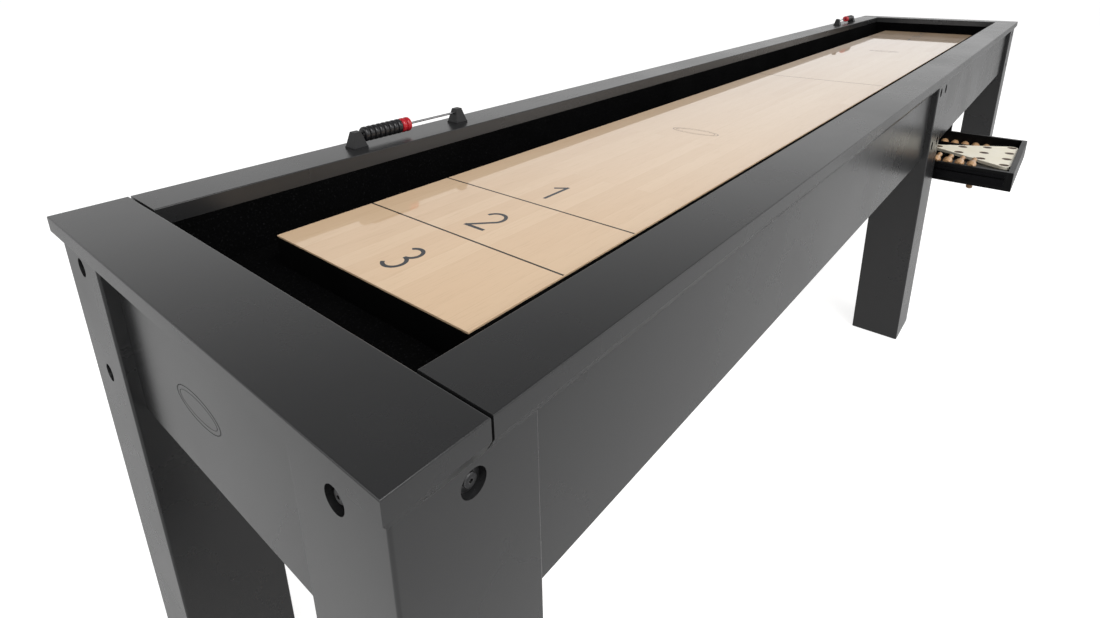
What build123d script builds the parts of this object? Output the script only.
"""Twelve-foot shuffleboard table on six legs, with a drawer for the pin set and two bead scorers.

X runs along the table (the near end is at -X), the front with the drawer faces -Y, the back rail
at +Y carries the scorers, and Z is up from the floor. The origin is on the floor under the middle.
"""
import os
from math import atan, degrees

from build123d import *

os.makedirs("parts", exist_ok=True)

# ---------------------------------------------------------------- driving dimensions (mm)
table_length = 3683.0
table_width = 698.0
table_height = 813.0

# Top rails
end_rail_width = 90.0
side_rail_width = 83.0
rail_thickness = 24.0
fascia_depth = 34.0
fascia_splay_height = 14.0
rail_overhang = 8.0
rail_edge_round = 1.5
joint_groove = 2.5
joint_groove_depth = 7.0

# Legs, "along" being the size in X and "across" the size in Y
leg_along = 140.0
leg_across = 127.0
leg_edge_round = 3.0
foot_lift = 3.0

# Aprons between the legs
apron_recess = 15.0
apron_thickness = 18.0
apron_drop = 236.0
apron_edge_round = 1.5

# Cabinet boards behind the legs and aprons
cabinet_step = 8.0
carpet_thickness = 4.0
carpet_reveal = 1.0
floor_thickness = 12.0
bearer_width = 38.0
bearer_height = 52.0
bearer_count = 7
bearer_end_gap = 60.0
stringer_share = 0.52

# Playfield
end_gutter = 119.0
side_gutter = 74.0
playfield_drop = 56.0
playfield_thickness = 48.0
coat_thickness = 2.5
coat_edge_round = 0.8
carpet_gap = 0.5

# Leg bolts and their inserts
bolt_drop = 52.0
bolt_pitch = 150.0
mid_bolt_spacing = 70.0
bolt_radius = 5.0
bolt_head_radius = 10.0
bolt_head_height = 5.0
bolt_socket_radius = 3.4
bolt_socket_depth = 3.0
counterbore_radius = 12.3
counterbore_depth = 8.0
bolt_clearance = 0.5
insert_wall = 2.0
bolt_insert_length = 20.0

# Levelling feet
foot_pad_radius = 22.0
foot_pad_height = 6.0
foot_cone_height = 3.0
foot_collar_radius = 9.0
foot_stem_radius = 5.0
foot_stem_length = 52.0
foot_pocket_radius = 26.0
foot_pocket_depth = 9.0
foot_insert_wall = 3.0
foot_insert_length = 30.0
foot_running_gap = 0.05
foot_bore_spare = 2.0

# Scorers on the back rail
scorer_from_end = 531.0
scorer_span = 226.0
bracket_base = 28.0
bracket_lip = 3.0
bracket_lip_step = 1.0
bracket_top = 13.0
bracket_height = 28.0
rod_radius = 2.0
rod_height = 20.0
bead_radius = 12.9
bead_width = 9.4
bead_gap = 0.3
bead_rim_round = 3.4
bead_bore_gap = 0.3
bead_count = 10
bead_end_gap = 1.0

# Drawer, hung under the cabinet on the far side of the front middle leg
drawer_from_leg = 55.0
drawer_width = 432.0
drawer_depth = 290.0
drawer_height = 56.0
drawer_drop = 52.0
drawer_wall = 12.0
drawer_front_thickness = 14.0
drawer_bottom_thickness = 6.0
drawer_bottom_lift = 2.0
drawer_travel = 206.0
shelf_thickness = 6.0
shelf_height = 32.0
runner_depth = 12.0
runner_plate = 2.0
runner_lip_gap = 1.0
runner_height = 45.0
runner_length = 270.0
slider_height = 34.0
slider_web_height = 12.0
slider_nose_gap = 2.0
hanger_thickness = 12.0
hanger_end_gap = 10.0

# Pin set
pin_length = 91.0
pin_belly_radius = 12.2
pin_base_radius = 8.0
pin_neck_radius = 5.0
pin_head_radius = 6.8
pin_belly_share = 0.30
pin_neck_share = 0.68
pin_head_share = 0.86
pin_base_flare = 0.45
pin_gap = 6.0
pin_count = 5
pin_wall_gap = 1.5
first_pin_from_front = 94.0
setter_pitch = 76.0
setter_row_pitch = 64.0
setter_rows = 4
setter_margin = 18.0
setter_thickness = 9.0
setter_front_gap = 1.0
setter_socket_radius = 13.0
setter_socket_depth = 1.5
setter_edge_round = 1.0

# ---------------------------------------------------------------- places worked out from them
half_length = table_length / 2
half_width = table_width / 2
fascia_bottom = table_height - fascia_depth
rail_bottom = table_height - rail_thickness
apron_bottom = table_height - apron_drop
cabinet_bottom = apron_bottom + cabinet_step
cabinet_setback = rail_overhang + apron_recess + apron_thickness
cabinet_x = half_length - cabinet_setback
cabinet_y = half_width - cabinet_setback
end_board = end_rail_width - cabinet_setback - carpet_thickness - carpet_reveal
side_board = side_rail_width - cabinet_setback - carpet_thickness - carpet_reveal
well_x = cabinet_x - end_board
well_y = cabinet_y - side_board
rail_x = half_length - end_rail_width
rail_y = half_width - side_rail_width

leg_face_x = half_length - rail_overhang
leg_face_y = half_width - rail_overhang
leg_x = leg_face_x - leg_along / 2
leg_y = leg_face_y - leg_across / 2
cheek = apron_recess + apron_thickness
bolt_length = cheek + bolt_insert_length - counterbore_depth

playfield_top = table_height - playfield_drop
playfield_bottom = playfield_top - playfield_thickness
playfield_length = 2 * (rail_x - end_gutter)
playfield_width = 2 * (rail_y - side_gutter)
bearer_pitch = 2 * (well_x - bearer_end_gap) / (bearer_count - 1)
stringer_spacing = 2 * well_y * stringer_share

bolt_levels = (table_height - bolt_drop, table_height - bolt_drop - bolt_pitch)
insert_radius = bolt_radius + insert_wall
foot_insert_radius = foot_stem_radius + foot_insert_wall
foot_insert_bottom = foot_lift + foot_pocket_depth

ends = {"near": -1, "far": 1}
sides = {"front": -1, "back": 1}
corner_legs = [(end, side) for end in ends.values() for side in sides.values()]


def upright(x, y, z, out_x, out_y):
    """A plane on an upright face, at a point, whose normal points out of the table."""
    return Plane(origin=(x, y, z), x_dir=(-out_y, out_x, 0), z_dir=(out_x, out_y, 0))


def end_bolt_planes(end, side):
    """The bolt places on the end face of one corner leg."""
    return [upright(end * leg_face_x, side * leg_y, level, end, 0) for level in bolt_levels]


def front_bolt_planes(x, side, spacing=0.0):
    """The bolt places on the outer long-side face of a leg centred on x."""
    columns = [x - spacing / 2, x + spacing / 2] if spacing else [x]
    return [upright(column, side * leg_face_y, level, 0, side)
            for column in columns for level in bolt_levels]


def corner_bolts(end, side):
    """Every bolt place of one corner leg."""
    return end_bolt_planes(end, side) + front_bolt_planes(end * leg_x, side)


def middle_bolts(side):
    """Every bolt place of one middle leg."""
    return front_bolt_planes(0, side, mid_bolt_spacing)


all_bolts = [place for end, side in corner_legs for place in corner_bolts(end, side)]
all_bolts += [place for side in sides.values() for place in middle_bolts(side)]
feet = [(end * leg_x, side * leg_y) for end in (-1, 0, 1) for side in (-1, 1)]


def save(piece, name):
    """Label one finished piece and write it to its own file."""
    piece.part.label = name
    export_step(piece.part, f"parts/{name}.step")


def save_group(pieces, name):
    """Write pieces that touch each other as one node of separate solids."""
    group = Compound(label=name, children=[solid for piece in pieces for solid in piece.part.solids()])
    export_step(group, f"parts/{name}.step")


# ---------------------------------------------------------------- top rails
def side_rail(name, side):
    """A long rail with a splayed fascia, rebated over the cabinet board and grooved at both ends."""
    with BuildPart() as rail:
        with BuildSketch(Plane.YZ.offset(-rail_x)):
            with BuildLine():
                Polyline(
                    (side * half_width, table_height),
                    (side * half_width, fascia_bottom + fascia_splay_height),
                    (side * leg_face_y, fascia_bottom),
                    (side * cabinet_y, fascia_bottom),
                    (side * cabinet_y, rail_bottom),
                    (side * rail_y, rail_bottom),
                    (side * rail_y, table_height),
                    close=True,
                )
            make_face()
        extrude(amount=2 * rail_x)
        fillet(rail.edges().filter_by(Axis.X).group_by(Axis.Z)[-1], radius=rail_edge_round)
        # The groove beside each end rail crosses the top and runs down the fascia.
        groove_top = Plane.XY.offset(table_height)
        with BuildSketch(groove_top):
            with GridLocations(2 * rail_x - joint_groove, 0, 2, 1):
                Rectangle(joint_groove, table_width)
        extrude(amount=-joint_groove_depth, mode=Mode.SUBTRACT)
        with BuildSketch(groove_top):
            with Locations((0, side * half_width)):
                with GridLocations(2 * rail_x - joint_groove, 0, 2, 1):
                    Rectangle(joint_groove, 2 * joint_groove_depth)
        extrude(amount=-fascia_depth, mode=Mode.SUBTRACT)
    save(rail, name)


def end_rail(name, end):
    """A short rail across the whole width, with the fascia splay on its three outer sides."""
    with BuildPart() as rail:
        with BuildSketch(Plane.XY.offset(fascia_bottom)):
            with Locations((end * (half_length + rail_x) / 2, 0)):
                Rectangle(end_rail_width, table_width)
        extrude(amount=fascia_depth)
        underside = rail.faces().sort_by(Axis.Z)[0]
        long_edges = underside.edges().filter_by(Axis.Y).sort_by(Axis.X)
        outer_edge = long_edges[0] if end < 0 else long_edges[-1]
        splayed = underside.edges().filter_by(Axis.X) + [outer_edge]
        chamfer(splayed, length=rail_overhang, length2=fascia_splay_height, reference=underside)
        with BuildSketch(Plane.XY.offset(fascia_bottom)):
            with Locations((end * (cabinet_x + rail_x) / 2, 0)):
                Rectangle(cabinet_x - rail_x, 2 * cabinet_y)
        extrude(amount=rail_bottom - fascia_bottom, mode=Mode.SUBTRACT)
        fillet(rail.faces().sort_by(Axis.Z)[-1].edges(), radius=rail_edge_round)
    save(rail, name)


for side_name, side in sides.items():
    side_rail(f"rail_{side_name}", side)
for end_name, end in ends.items():
    end_rail(f"rail_{end_name}_end", end)

# ---------------------------------------------------------------- legs
foot_bore_depth = foot_stem_length + foot_pad_height + foot_cone_height - foot_lift + foot_bore_spare


def leg(name, x, y, notch_planes, bolts):
    """A square post, notched at the top so that thin cheeks wrap the cabinet boards."""
    with BuildPart() as post:
        with BuildSketch(Plane.XY.offset(foot_lift)):
            with Locations((x, y)):
                Rectangle(leg_along, leg_across)
        extrude(amount=fascia_bottom - foot_lift)
        fillet(post.edges().filter_by(Axis.Z), radius=leg_edge_round)
        fillet(post.faces().sort_by(Axis.Z)[0].edges(), radius=leg_edge_round / 2)
        with BuildSketch(Plane.XY.offset(cabinet_bottom)):
            with Locations(notch_planes[0]):
                Rectangle(*notch_planes[1])
        extrude(amount=fascia_bottom - cabinet_bottom, mode=Mode.SUBTRACT)
        with Locations(*bolts):
            CounterBoreHole(
                radius=bolt_radius + bolt_clearance,
                counter_bore_radius=counterbore_radius,
                counter_bore_depth=counterbore_depth,
                depth=cheek,
            )
        with Locations(Plane((x, y, foot_lift), x_dir=(1, 0, 0), z_dir=(0, 0, -1))):
            Hole(radius=foot_pocket_radius, depth=foot_pocket_depth)
            Hole(radius=foot_insert_radius, depth=foot_pocket_depth + foot_insert_length)
            Hole(radius=foot_stem_radius + bolt_clearance, depth=foot_bore_depth)
    save(post, name)


for end_name, end in ends.items():
    for side_name, side in sides.items():
        notch_at = (end * (cabinet_x - leg_along / 2), side * (cabinet_y - leg_across / 2))
        leg(
            f"leg_{end_name}_{side_name}",
            end * leg_x,
            side * leg_y,
            (notch_at, (leg_along, leg_across)),
            corner_bolts(end, side),
        )
for side_name, side in sides.items():
    notch_at = (0, side * (cabinet_y - leg_across / 2))
    leg(
        f"leg_mid_{side_name}",
        0,
        side * leg_y,
        (notch_at, (leg_along, leg_across)),
        middle_bolts(side),
    )

# ---------------------------------------------------------------- aprons
apron_inner_x = leg_along / 2
apron_outer_x = leg_face_x - leg_along
side_apron_length = apron_outer_x - apron_inner_x
end_apron_length = 2 * (leg_face_y - leg_across)

with BuildPart() as side_aprons:
    with BuildSketch(Plane.XY.offset(apron_bottom)):
        with GridLocations(apron_inner_x + apron_outer_x, 2 * cabinet_y + apron_thickness, 2, 2):
            Rectangle(side_apron_length, apron_thickness)
    extrude(amount=fascia_bottom - apron_bottom)
    fillet(side_aprons.edges().filter_by(Axis.X).group_by(Axis.Z)[0], radius=apron_edge_round)
save(side_aprons, "side_aprons")

with BuildPart() as end_aprons:
    with BuildSketch(Plane.XY.offset(apron_bottom)):
        with GridLocations(2 * cabinet_x + apron_thickness, 0, 2, 1):
            Rectangle(apron_thickness, end_apron_length)
    extrude(amount=fascia_bottom - apron_bottom)
    fillet(end_aprons.edges().filter_by(Axis.Y).group_by(Axis.Z)[0], radius=apron_edge_round)
save(end_aprons, "end_aprons")

# ---------------------------------------------------------------- cabinet boards
insert_places = [place.offset(-cheek) for place in all_bolts]
cabinet_height = rail_bottom - cabinet_bottom


def carcass_side(name, side):
    """A long cabinet board, mitred at both ends."""
    with BuildPart() as board:
        with BuildSketch(Plane.XY.offset(cabinet_bottom)):
            with BuildLine():
                Polyline(
                    (-cabinet_x, side * cabinet_y),
                    (cabinet_x, side * cabinet_y),
                    (well_x, side * well_y),
                    (-well_x, side * well_y),
                    close=True,
                )
            make_face()
        extrude(amount=cabinet_height)
        with Locations(*insert_places):
            Hole(radius=insert_radius, depth=bolt_insert_length)
    save(board, name)


for side_name, side in sides.items():
    carcass_side(f"carcass_{side_name}", side)

with BuildPart() as carcass_ends:
    for end in ends.values():
        with BuildSketch(Plane.XY.offset(cabinet_bottom)):
            with BuildLine():
                Polyline(
                    (end * cabinet_x, -cabinet_y),
                    (end * cabinet_x, cabinet_y),
                    (end * well_x, well_y),
                    (end * well_x, -well_y),
                    close=True,
                )
            make_face()
        extrude(amount=cabinet_height)
    with Locations(*insert_places):
        Hole(radius=insert_radius, depth=bolt_insert_length)
save(carcass_ends, "carcass_ends")

floor_bottom = playfield_bottom - floor_thickness
with BuildPart() as floor_board:
    with BuildSketch(Plane.XY.offset(floor_bottom)):
        Rectangle(2 * well_x, 2 * well_y)
    extrude(amount=floor_thickness)
save(floor_board, "floor_board")

stringer_height = floor_bottom - bearer_height - cabinet_bottom
with BuildPart() as bearers:
    with BuildSketch(Plane.XY.offset(floor_bottom - bearer_height)):
        with GridLocations(bearer_pitch, 0, bearer_count, 1):
            Rectangle(bearer_width, 2 * well_y)
    extrude(amount=bearer_height)

with BuildPart() as stringers:
    with BuildSketch(Plane.XY.offset(cabinet_bottom)):
        with GridLocations(0, stringer_spacing, 1, 2):
            Rectangle(2 * well_x, bearer_width)
    extrude(amount=stringer_height)
save_group([bearers, stringers], "cradle")

# ---------------------------------------------------------------- gutter carpet
carpet_x = well_x - carpet_thickness
carpet_y = well_y - carpet_thickness
gutter_x = playfield_length / 2 + carpet_gap
gutter_y = playfield_width / 2 + carpet_gap
carpet_wall_height = rail_bottom - playfield_bottom

with BuildPart() as floor_carpet:
    with BuildSketch(Plane.XY.offset(playfield_bottom)):
        with GridLocations(0, carpet_y + gutter_y, 1, 2):
            Rectangle(2 * carpet_x, carpet_y - gutter_y)
        with GridLocations(carpet_x + gutter_x, 0, 2, 1):
            Rectangle(carpet_x - gutter_x, 2 * gutter_y - 2 * carpet_gap)
    extrude(amount=carpet_thickness)

with BuildPart() as wall_carpet:
    with BuildSketch(Plane.XY.offset(playfield_bottom)):
        with GridLocations(0, 2 * well_y - carpet_thickness, 1, 2):
            Rectangle(2 * well_x, carpet_thickness)
        with GridLocations(2 * well_x - carpet_thickness, 0, 2, 1):
            Rectangle(carpet_thickness, 2 * carpet_y - 2 * carpet_gap)
    extrude(amount=carpet_wall_height)
save_group([floor_carpet, wall_carpet], "gutter_carpet")

# ---------------------------------------------------------------- playfield
with BuildPart() as playfield_slab:
    with BuildSketch(Plane.XY.offset(playfield_bottom)):
        Rectangle(playfield_length, playfield_width)
    extrude(amount=playfield_thickness - coat_thickness)
save(playfield_slab, "playfield_slab")

with BuildPart() as playfield_coat:
    with BuildSketch(Plane.XY.offset(playfield_top - coat_thickness)):
        Rectangle(playfield_length, playfield_width)
    extrude(amount=coat_thickness)
    fillet(playfield_coat.faces().sort_by(Axis.Z)[-1].edges(), radius=coat_edge_round)
save(playfield_coat, "playfield_coat")

# ---------------------------------------------------------------- leg bolts and inserts
with BuildPart() as one_bolt:
    with BuildSketch():
        Circle(bolt_radius)
    extrude(amount=-bolt_length)
    with BuildSketch():
        Circle(bolt_head_radius)
    extrude(amount=bolt_head_height)
    fillet(one_bolt.edges().sort_by(Axis.Z)[-1], radius=bolt_head_height / 2)
    with BuildSketch(Plane.XY.offset(bolt_head_height)):
        RegularPolygon(bolt_socket_radius, 6)
    extrude(amount=-bolt_socket_depth, mode=Mode.SUBTRACT)

with BuildPart() as leg_bolts:
    with Locations(*[place.offset(-counterbore_depth) for place in all_bolts]):
        add(one_bolt.part)
save(leg_bolts, "leg_bolts")

with BuildPart() as bolt_insert:
    with BuildSketch():
        Circle(insert_radius)
        Circle(bolt_radius, mode=Mode.SUBTRACT)
    extrude(amount=-bolt_insert_length)

with BuildPart() as foot_insert:
    with BuildSketch():
        Circle(foot_insert_radius)
        Circle(foot_stem_radius + foot_running_gap, mode=Mode.SUBTRACT)
    extrude(amount=foot_insert_length)

with BuildPart() as threaded_inserts:
    with Locations(*insert_places):
        add(bolt_insert.part)
    with Locations(*[(x, y, foot_insert_bottom) for x, y in feet]):
        add(foot_insert.part)
save(threaded_inserts, "threaded_inserts")

# ---------------------------------------------------------------- levelling feet
for number, (x, y) in enumerate(feet, start=1):
    with BuildPart() as leveller:
        with BuildSketch(Plane((x, y, 0), x_dir=(1, 0, 0), z_dir=(0, -1, 0))):
            with BuildLine():
                stem_foot = foot_pad_height + foot_cone_height
                Polyline(
                    (0, 0),
                    (foot_pad_radius, 0),
                    (foot_pad_radius, foot_pad_height),
                    (foot_collar_radius, stem_foot),
                    (foot_stem_radius, stem_foot),
                    (foot_stem_radius, stem_foot + foot_stem_length),
                    (0, stem_foot + foot_stem_length),
                    close=True,
                )
            make_face()
        revolve(axis=Axis((x, y, 0), (0, 0, 1)))
    save(leveller, f"leveller_{number}")

# ---------------------------------------------------------------- scorers
scorer_y = half_width - side_rail_width / 2
scorer_places = {name: end * (half_length - scorer_from_end) for name, end in ends.items()}
rod_z = table_height + rod_height
bracket_centres = [(x + end * scorer_span / 2, scorer_y)
                   for x in scorer_places.values() for end in (-1, 1)]
shoulder = bracket_base - 2 * bracket_lip_step
cone_height = bracket_height - bracket_lip
bracket_taper = degrees(atan((shoulder - bracket_top) / 2 / cone_height))

with BuildPart() as scorer_brackets:
    with BuildSketch(Plane.XY.offset(table_height)):
        with Locations(*bracket_centres):
            Rectangle(bracket_base, bracket_base)
    extrude(amount=bracket_lip)
    fillet(scorer_brackets.edges().filter_by(Axis.Z), radius=bracket_lip_step)
    for centre in bracket_centres:
        with BuildSketch(Plane.XY.offset(table_height + bracket_lip)):
            with Locations(centre):
                Rectangle(shoulder, shoulder)
        extrude(amount=cone_height, taper=bracket_taper)
    for x in scorer_places.values():
        with BuildSketch(Plane.YZ.offset(x - scorer_span / 2)):
            with Locations((scorer_y, rod_z)):
                Circle(rod_radius)
        extrude(amount=scorer_span, mode=Mode.SUBTRACT)
save(scorer_brackets, "scorer_brackets")

with BuildPart() as scorer_rods:
    for x in scorer_places.values():
        with BuildSketch(Plane.YZ.offset(x - scorer_span / 2)):
            with Locations((scorer_y, rod_z)):
                Circle(rod_radius)
        extrude(amount=scorer_span)
save(scorer_rods, "scorer_rods")

# The beads clear the bracket at the level of their lowest point.
bead_low = rod_height - bead_radius
bracket_half_at_bead = shoulder / 2 - (bead_low - bracket_lip) / cone_height * (shoulder - bracket_top) / 2
first_bead = scorer_span / 2 - bracket_half_at_bead - bead_end_gap - bead_width / 2
bead_pitch = bead_width + bead_gap

for end_name, end in ends.items():
    for number in range(1, bead_count + 1):
        bead_x = scorer_places[end_name] + end * (first_bead - (number - 1) * bead_pitch)
        rod_axis = Axis((bead_x, scorer_y, rod_z), (1, 0, 0))
        with BuildPart() as bead:
            with BuildSketch(Plane((bead_x, scorer_y, rod_z), x_dir=(1, 0, 0), z_dir=(0, -1, 0))) as ring:
                bore = rod_radius + bead_bore_gap
                with Locations((0, (bead_radius + bore) / 2)):
                    Rectangle(bead_width, bead_radius - bore)
                fillet(ring.vertices().group_by(Axis.Z)[-1], radius=bead_rim_round)
            revolve(axis=rod_axis)
        save(bead, f"{end_name}_bead_{number:02d}")

bead_travel = 2 * first_bead - (bead_count - 1) * bead_pitch
print(f"bead travel {bead_travel:.2f} mm")

# ---------------------------------------------------------------- drawer
drawer_left = leg_along / 2 + drawer_from_leg
drawer_right = drawer_left + drawer_width
drawer_mid = (drawer_left + drawer_right) / 2
drawer_front_y = -(cabinet_y + apron_thickness) - drawer_travel
drawer_back_y = drawer_front_y + drawer_depth
drawer_top = apron_bottom - drawer_drop
drawer_base = drawer_top - drawer_height
drawer_inside_y = drawer_front_y + drawer_front_thickness
drawer_floor = drawer_base + drawer_bottom_lift + drawer_bottom_thickness
inside_width = drawer_width - 2 * drawer_wall
inside_depth = drawer_back_y - drawer_wall - drawer_inside_y
inside_mid_y = drawer_inside_y + inside_depth / 2

with BuildPart() as drawer_front:
    with BuildSketch(Plane.XY.offset(drawer_base)):
        with Locations((drawer_mid, drawer_front_y + drawer_front_thickness / 2)):
            Rectangle(drawer_width, drawer_front_thickness)
    extrude(amount=drawer_height)
    fillet(drawer_front.faces().sort_by(Axis.Y)[0].edges(), radius=apron_edge_round)
save(drawer_front, "drawer_front")

side_length = drawer_back_y - drawer_inside_y
with BuildPart() as drawer_sides:
    with BuildSketch(Plane.XY.offset(drawer_base)):
        with Locations((drawer_mid, drawer_inside_y + side_length / 2)):
            with GridLocations(drawer_width - drawer_wall, 0, 2, 1):
                Rectangle(drawer_wall, side_length)
    extrude(amount=drawer_height)
save(drawer_sides, "drawer_sides")

with BuildPart() as drawer_back:
    with BuildSketch(Plane.XY.offset(drawer_base)):
        with Locations((drawer_mid, drawer_back_y - drawer_wall / 2)):
            Rectangle(inside_width, drawer_wall)
    extrude(amount=drawer_height)
save(drawer_back, "drawer_back")

with BuildPart() as drawer_bottom:
    with BuildSketch(Plane.XY.offset(drawer_base + drawer_bottom_lift)):
        with Locations((drawer_mid, inside_mid_y)):
            Rectangle(inside_width, inside_depth)
    extrude(amount=drawer_bottom_thickness)
save(drawer_bottom, "drawer_bottom")

shelf_x = inside_width / 2 - pin_length - 2 * pin_wall_gap
shelf_top = drawer_floor + shelf_height
with BuildPart() as pin_shelves:
    # On the near side a shelf from the drawer's side, turned down at its inner edge to the bottom.
    outer_x = drawer_mid - inside_width / 2
    inner_x = drawer_mid - shelf_x
    web_x = inner_x - shelf_thickness
    with BuildSketch(Plane.XZ.offset(-drawer_inside_y)):
        with BuildLine():
            Polyline(
                (outer_x, shelf_top - shelf_thickness),
                (outer_x, shelf_top),
                (inner_x, shelf_top),
                (inner_x, drawer_floor),
                (web_x, drawer_floor),
                (web_x, shelf_top - shelf_thickness),
                close=True,
            )
        make_face()
    extrude(amount=-inside_depth)
    # On the far side a plain divider of the same height, beside pins that lie on the bottom.
    with BuildSketch(Plane.XY.offset(drawer_floor)):
        with Locations((drawer_mid + shelf_x - shelf_thickness / 2, inside_mid_y)):
            Rectangle(shelf_thickness, inside_depth)
    extrude(amount=shelf_height)
save(pin_shelves, "pin_shelves")

# ---------------------------------------------------------------- runners and hangers
runner_z = drawer_base + drawer_height / 2
hanger_front_y = -cabinet_y
fixed_runner_front = hanger_front_y
slider_back_y = drawer_back_y

with BuildPart() as runners_fixed:
    for hand in (-1, 1):
        # A channel open towards the drawer, drawn from its back plate.
        back_x = drawer_mid + hand * (drawer_width / 2 + runner_depth)
        lip_x = drawer_mid + hand * (drawer_width / 2 + runner_plate + runner_lip_gap)
        inner_x = back_x - hand * runner_plate
        low = runner_z - runner_height / 2
        high = runner_z + runner_height / 2
        with BuildSketch(Plane.XZ.offset(-fixed_runner_front)):
            with BuildLine():
                Polyline(
                    (back_x, low),
                    (lip_x, low),
                    (lip_x, low + runner_plate),
                    (inner_x, low + runner_plate),
                    (inner_x, high - runner_plate),
                    (lip_x, high - runner_plate),
                    (lip_x, high),
                    (back_x, high),
                    close=True,
                )
            make_face()
        extrude(amount=-runner_length)
save(runners_fixed, "runners_fixed")

with BuildPart() as runners_moving:
    for hand in (-1, 1):
        # A plate on the drawer's side with a web that runs inside the channel.
        side_x = drawer_mid + hand * drawer_width / 2
        plate_x = side_x + hand * runner_plate
        web_x = side_x + hand * (runner_depth - runner_plate - slider_nose_gap)
        plate_half = slider_height / 2
        web_half = slider_web_height / 2
        with BuildSketch(Plane.XZ.offset(-slider_back_y)):
            with BuildLine():
                Polyline(
                    (side_x, runner_z - plate_half),
                    (plate_x, runner_z - plate_half),
                    (plate_x, runner_z - web_half),
                    (web_x, runner_z - web_half),
                    (web_x, runner_z + web_half),
                    (plate_x, runner_z + web_half),
                    (plate_x, runner_z + plate_half),
                    (side_x, runner_z + plate_half),
                    close=True,
                )
            make_face()
        extrude(amount=runner_length)
save(runners_moving, "runners_moving")

with BuildPart() as drawer_hangers:
    hanger_length = runner_length + hanger_end_gap
    with BuildSketch(Plane.XY.offset(drawer_base)):
        with Locations((drawer_mid, hanger_front_y + hanger_length / 2)):
            with GridLocations(drawer_width + 2 * runner_depth + hanger_thickness, 0, 2, 1):
                Rectangle(hanger_thickness, hanger_length)
    extrude(amount=cabinet_bottom - drawer_base)
save(drawer_hangers, "drawer_hangers")

# ---------------------------------------------------------------- pin set in the drawer
with BuildPart() as one_pin:
    # Base at the origin, head towards +Z.
    with BuildSketch(Plane.XZ):
        with BuildLine():
            Line((0, 0), (pin_base_radius, 0))
            Spline(
                (pin_base_radius, 0),
                (pin_belly_radius, pin_length * pin_belly_share),
                (pin_neck_radius, pin_length * pin_neck_share),
                (pin_head_radius, pin_length * pin_head_share),
                (0, pin_length),
                tangents=((pin_base_flare, 1), (-1, 0)),
            )
            Line((0, pin_length), (0, 0))
        make_face()
    revolve(axis=Axis.Z)

pin_fullest = one_pin.part.bounding_box().max.X
pin_levels = {-1: shelf_top + pin_fullest, 1: drawer_floor + pin_fullest}
pin_pitch = 2 * pin_fullest + pin_gap
pin_places = []
for hand in (-1, 1):
    base_x = drawer_mid + hand * (inside_width / 2 - pin_wall_gap)
    for number in range(pin_count):
        pin_y = drawer_inside_y + first_pin_from_front + number * pin_pitch
        pin_places.append(Plane((base_x, pin_y, pin_levels[hand]), x_dir=(0, 1, 0), z_dir=(-hand, 0, 0)))

with BuildPart() as setter_pins:
    with Locations(*pin_places):
        add(one_pin.part)
save(setter_pins, "setter_pins")

setter_z = shelf_top
first_row_y = drawer_inside_y + setter_front_gap + setter_margin
sockets = []
for row in range(setter_rows):
    holes = setter_rows - row
    for hole in range(holes):
        sockets.append((drawer_mid + (hole - (holes - 1) / 2) * setter_pitch,
                        first_row_y + row * setter_row_pitch))
setter_corners = [sockets[0], sockets[setter_rows - 1], sockets[-1]]

with BuildPart() as setter_board:
    with BuildSketch(Plane.XY.offset(setter_z)):
        with Locations(*setter_corners):
            Circle(setter_margin)
        make_hull()
    extrude(amount=setter_thickness)
    fillet(setter_board.faces().sort_by(Axis.Z)[-1].edges(), radius=setter_edge_round)
    with BuildSketch(Plane.XY.offset(setter_z + setter_thickness)):
        with Locations(*sockets):
            Circle(setter_socket_radius)
    extrude(amount=-setter_socket_depth, mode=Mode.SUBTRACT)
save(setter_board, "setter_board")
